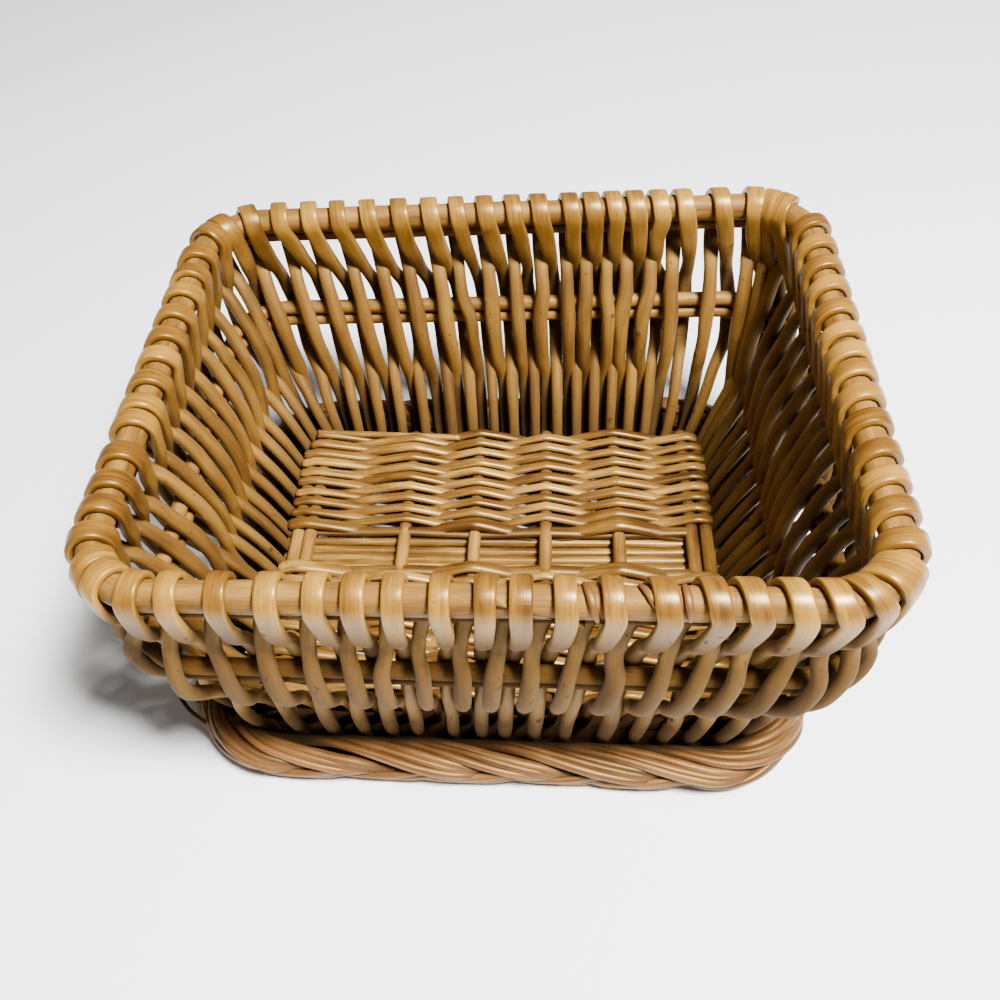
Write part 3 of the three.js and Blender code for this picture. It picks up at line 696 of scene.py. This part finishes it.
def sliver(start, end, first, last, seed):
    """A thin strip whose points go along the rim by equal steps and round it by equal angles, lifted by
    half a sine wave in its middle. It narrows to its tips by the cube of the distance."""
    share = np.linspace(0, 1, 24)
    lean = np.radians(first + (last - first) * share)
    lift = RIM["diameter"] / 2 + SLIVER["gap"] + SLIVER["bow"] * np.sin(np.pi * share)
    across = -RIM["half_width"] - lift * np.sin(lean)
    path = np.column_stack([start + (end - start) * share, across, RIM["height"] + lift * np.cos(lean)])
    wide = SLIVER["width"] * (1 - 0.6 * np.abs(2 * share - 0.9) ** 3)
    return rod(path, (1, 0, 0), wide, SLIVER["thickness"], THIN_ROD_FACES, seed, wobble=0.08, knots=0)


bark = [sliver(*row, 700 + number) for number, row in enumerate(SLIVERS)]
put_together("bark_slivers", bark, russet, [])


# The base sticks and the band: eight round sticks from front to back, a pair at each end and four
# between, and under their middle five straight pale rods side by side.
STICKS = [-118.1, -109.9, -54.1, -13.1, 27.9, 68.9, 109.9, 118.1]
STICK = {"diameter": 7.4, "height": 19.0}
BAND_ROD = 5.9
BAND_RODS = 5
METRE = 1000
band_boxes = [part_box(f"base_band_rod_{n + 1}") for n in range(BAND_RODS)]
BAND_MIDDLE = float(np.mean(band_boxes, axis=(0, 1))[1]) * METRE
BAND_HALF = 14.0


def straight_rod(start, end, diameter, seed, first=(0, 1, 0), dull=0.0):
    """A rod between two points, bowed by half a sine wave of a millimetre at most. It is darkened by
    painted shade, and rougher, where it lies under the weave, which begins half a band from the band's
    middle."""
    rng = np.random.default_rng(seed)
    start, end = np.array(start, float), np.array(end, float)
    share = np.linspace(0, 1, max(8, int(np.linalg.norm(end - start) / 2.5)))[:, None]
    path = start + (end - start) * share + np.sin(np.pi * share) * rng.normal(0, 0.35, 3)
    weave_shade = dull * np.clip((np.abs(path[:, 1] - BAND_MIDDLE) - BAND_HALF) / 3, 0, 1)
    return rod(path, first, diameter, diameter, 14, seed, wobble=0.03, knots=3, dull=weave_shade[:, None])


straw = willow(
    "straw_willow",
    pale=(0.30, 0.158, 0.033),
    middle=(0.118, 0.054, 0.0090),
    deep=(0.038, 0.013, 0.0018),
    gloss=0.34,
    streak=0.9,
    spread=1.0,
    shine=0.8,
)
for number, x in enumerate(STICKS):
    node = f"base_stick_{number + 1}"
    low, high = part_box(node)
    ends = [(x, corner[1] * METRE, STICK["height"]) for corner in (low, high)]
    # The sticks take painted shade where the weave covers them.
    stick = straight_rod(*ends, STICK["diameter"], seed=500 + number, first=(1, 0, 0), dull=0.6)
    put_together(node + "_round", [stick], honey, [node])
for number, (low, high) in enumerate(band_boxes):
    node = f"base_band_rod_{number + 1}"
    y, z = (low[1] + high[1]) / 2 * METRE, (low[2] + high[2]) / 2 * METRE
    band = straight_rod((low[0] * METRE, y, z), (high[0] * METRE, y, z), BAND_ROD, seed=520 + number)
    put_together(node + "_round", [band], straw, [node])


# The weaving of the base: thin pale rods go over and under the sticks, behind the band and before it.
# The first row beside the band is thick, a rod is tucked in below it, whose very dark tone is painted
# shade for the gap there, and one end lies loose.
CROSSINGS = [(STICKS[0] + STICKS[1]) / 2, *STICKS[2:6], (STICKS[6] + STICKS[7]) / 2]
WEAVERS = {"base_weaver_back": (1, 19), "base_weaver_front": (-1, 21)}
ROW = {"reach": 123.0, "diameter": 4.3, "first_diameter": 6.2, "first_shift": 1.2, "wide": 1.36, "high": 0.86}
TUCKED = {"reach": 112.0, "diameter": 4.6, "lie": 0.2, "tone": -2.8, "shift": 0.6}
# Past this distance from the middle the rows grow shorter, by this share of what is past it.
ROUNDED = {"from": 78.0, "share": 0.35}


def woven_row(y, over, reach, thick, seed, lie=1.0):
    """One thin rod woven across the base: between two sticks its height goes from over one to under the
    other, mostly by a straight line and a quarter by a smooth step, and it runs a little past the
    outer sticks."""
    rng = np.random.default_rng(seed)
    xs = np.array([-reach, *CROSSINGS, reach])
    signs = over * (-1.0) ** np.arange(len(CROSSINGS))
    swing = (STICK["diameter"] / 2 + thick * 0.43) * lie
    zs = swing * np.concatenate([[0.6 * signs[0]], signs, [0.6 * signs[-1]]])
    x = np.arange(-reach, reach, 2.6)
    span = np.clip(np.searchsorted(xs, x) - 1, 0, len(xs) - 2)
    t = (x - xs[span]) / (xs[span + 1] - xs[span])
    t = 0.75 * t + 0.25 * t * t * (3 - 2 * t)
    z = STICK["height"] + zs[span] * (1 - t) + zs[span + 1] * t
    wander = 0.5 * np.sin(x / 37 + rng.uniform(0, 6.3)) + 0.3 * np.sin(x / 17 + rng.uniform(0, 6.3))
    path = np.column_stack([x, y + wander, z])
    size = thick * (1 + 0.1 * np.sin(x / 60 + rng.uniform(0, 6.3)))
    # Painted shade: the row is darkened, and rougher, where it dips low under the sticks.
    low = 0.65 * np.clip((STICK["height"] + 1.5 - z) / 5, 0, 1)
    wide, high = size * ROW["wide"], size * ROW["high"]
    return rod(
        path, (0, 1, 0), wide, high, THIN_ROD_FACES, seed, wobble=0.05, knots=1, flat=0.3, dull=low[:, None]
    )


for node, (facing, count) in WEAVERS.items():
    near, far = sorted(corner[1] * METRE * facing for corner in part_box(node))
    rows = []
    for row in range(count):
        y = facing * (near + (row + 0.5) * (far - near) / count)
        reach = ROW["reach"] - max(0, abs(y) - ROUNDED["from"]) * ROUNDED["share"]
        y -= facing * ROW["first_shift"] if row == 0 else 0
        thick = ROW["first_diameter"] if row == 0 else ROW["diameter"]
        rows.append(woven_row(y, (-1) ** row, reach, thick, 600 + 40 * (facing > 0) + row))
    beside = facing * (near - TUCKED["shift"])
    tucked = woven_row(beside, -1, TUCKED["reach"], TUCKED["diameter"], 690 + facing, TUCKED["lie"])
    # The tucked rod's very dark tone is painted shade.
    rows.append({**tucked, "tone": np.full_like(tucked["tone"], TUCKED["tone"])})
    if facing > 0:
        rows.append(straight_rod((-117, far - 0.5, 23.5), (-26, far - 4, 22.0), 3.8, seed=695))
    put_together(node + "_rods", rows, straw, [node])


# The floor: a wide sheet of white paper.
paper = bpy.data.materials.new("white_paper")
paper.use_nodes = True
paper.node_tree.nodes["Principled BSDF"].inputs["Base Color"].default_value = (0.78, 0.78, 0.78, 1)
paper.node_tree.nodes["Principled BSDF"].inputs["Roughness"].default_value = 0.9
floor_mesh = bpy.data.meshes.new("floor")
floor_mesh.from_pydata([(-6, -6, 0), (6, -6, 0), (6, 6, 0), (-6, 6, 0)], [], [(0, 1, 2, 3)])
floor_mesh.materials.append(paper)
floor = bpy.data.objects.new("floor", floor_mesh)
bpy.context.scene.collection.objects.link(floor)


# The light: a pale room, and a square window light above the front right.
world = bpy.data.worlds.new("studio")
bpy.context.scene.world = world
world.use_nodes = True
world.node_tree.nodes["Background"].inputs["Color"].default_value = (1.0, 0.99, 0.97, 1)
world.node_tree.nodes["Background"].inputs["Strength"].default_value = 0.18
window = bpy.data.lights.new("window_light", "AREA")
window.shape, window.size, window.size_y, window.energy = "RECTANGLE", 0.40, 0.40, 178
window_object = bpy.data.objects.new("window_light", window)
place, aim = np.array((0.56, -0.44, 1.50)), np.array((0, 0, 0.05))
window_object.location = place
window_object.rotation_euler = Vector(aim - place).to_track_quat("-Z", "Y").to_euler()
bpy.context.scene.collection.objects.link(window_object)


# The camera, where the photographer stood: in front, a little to the right, and looking down.
def camera_at(azimuth, elevation, roll, distance, target, lens, shift):
    """A camera on a sphere round a target, in degrees and metres: back is the direction from target to
    camera, right is level, and the roll turns both about the line of sight."""
    a, e, c = np.radians([azimuth, elevation, roll])
    back = np.array([np.sin(a) * np.cos(e), -np.cos(a) * np.cos(e), np.sin(e)])
    level = np.array([np.cos(a), np.sin(a), 0.0])
    up = np.cross(back, level)
    right, up = np.cos(c) * level + np.sin(c) * up, -np.sin(c) * level + np.cos(c) * up
    data = bpy.data.cameras.new("camera")
    data.lens, data.sensor_width = lens, 36.0
    data.shift_x, data.shift_y = shift
    data.clip_start, data.clip_end = 0.01, 50
    holder = bpy.data.objects.new("camera", data)
    matrix = np.eye(4)
    matrix[:3] = np.stack([right, up, back, np.array(target) + back * distance], 1)
    holder.matrix_world = Matrix(matrix.tolist())
    bpy.context.scene.collection.objects.link(holder)
    bpy.context.scene.camera = holder


camera_at(10.82, 47.59, -7.74, 0.5262, (-0.03898, -0.04054, 0.092), 37.96, (0.0894, 0.0216))
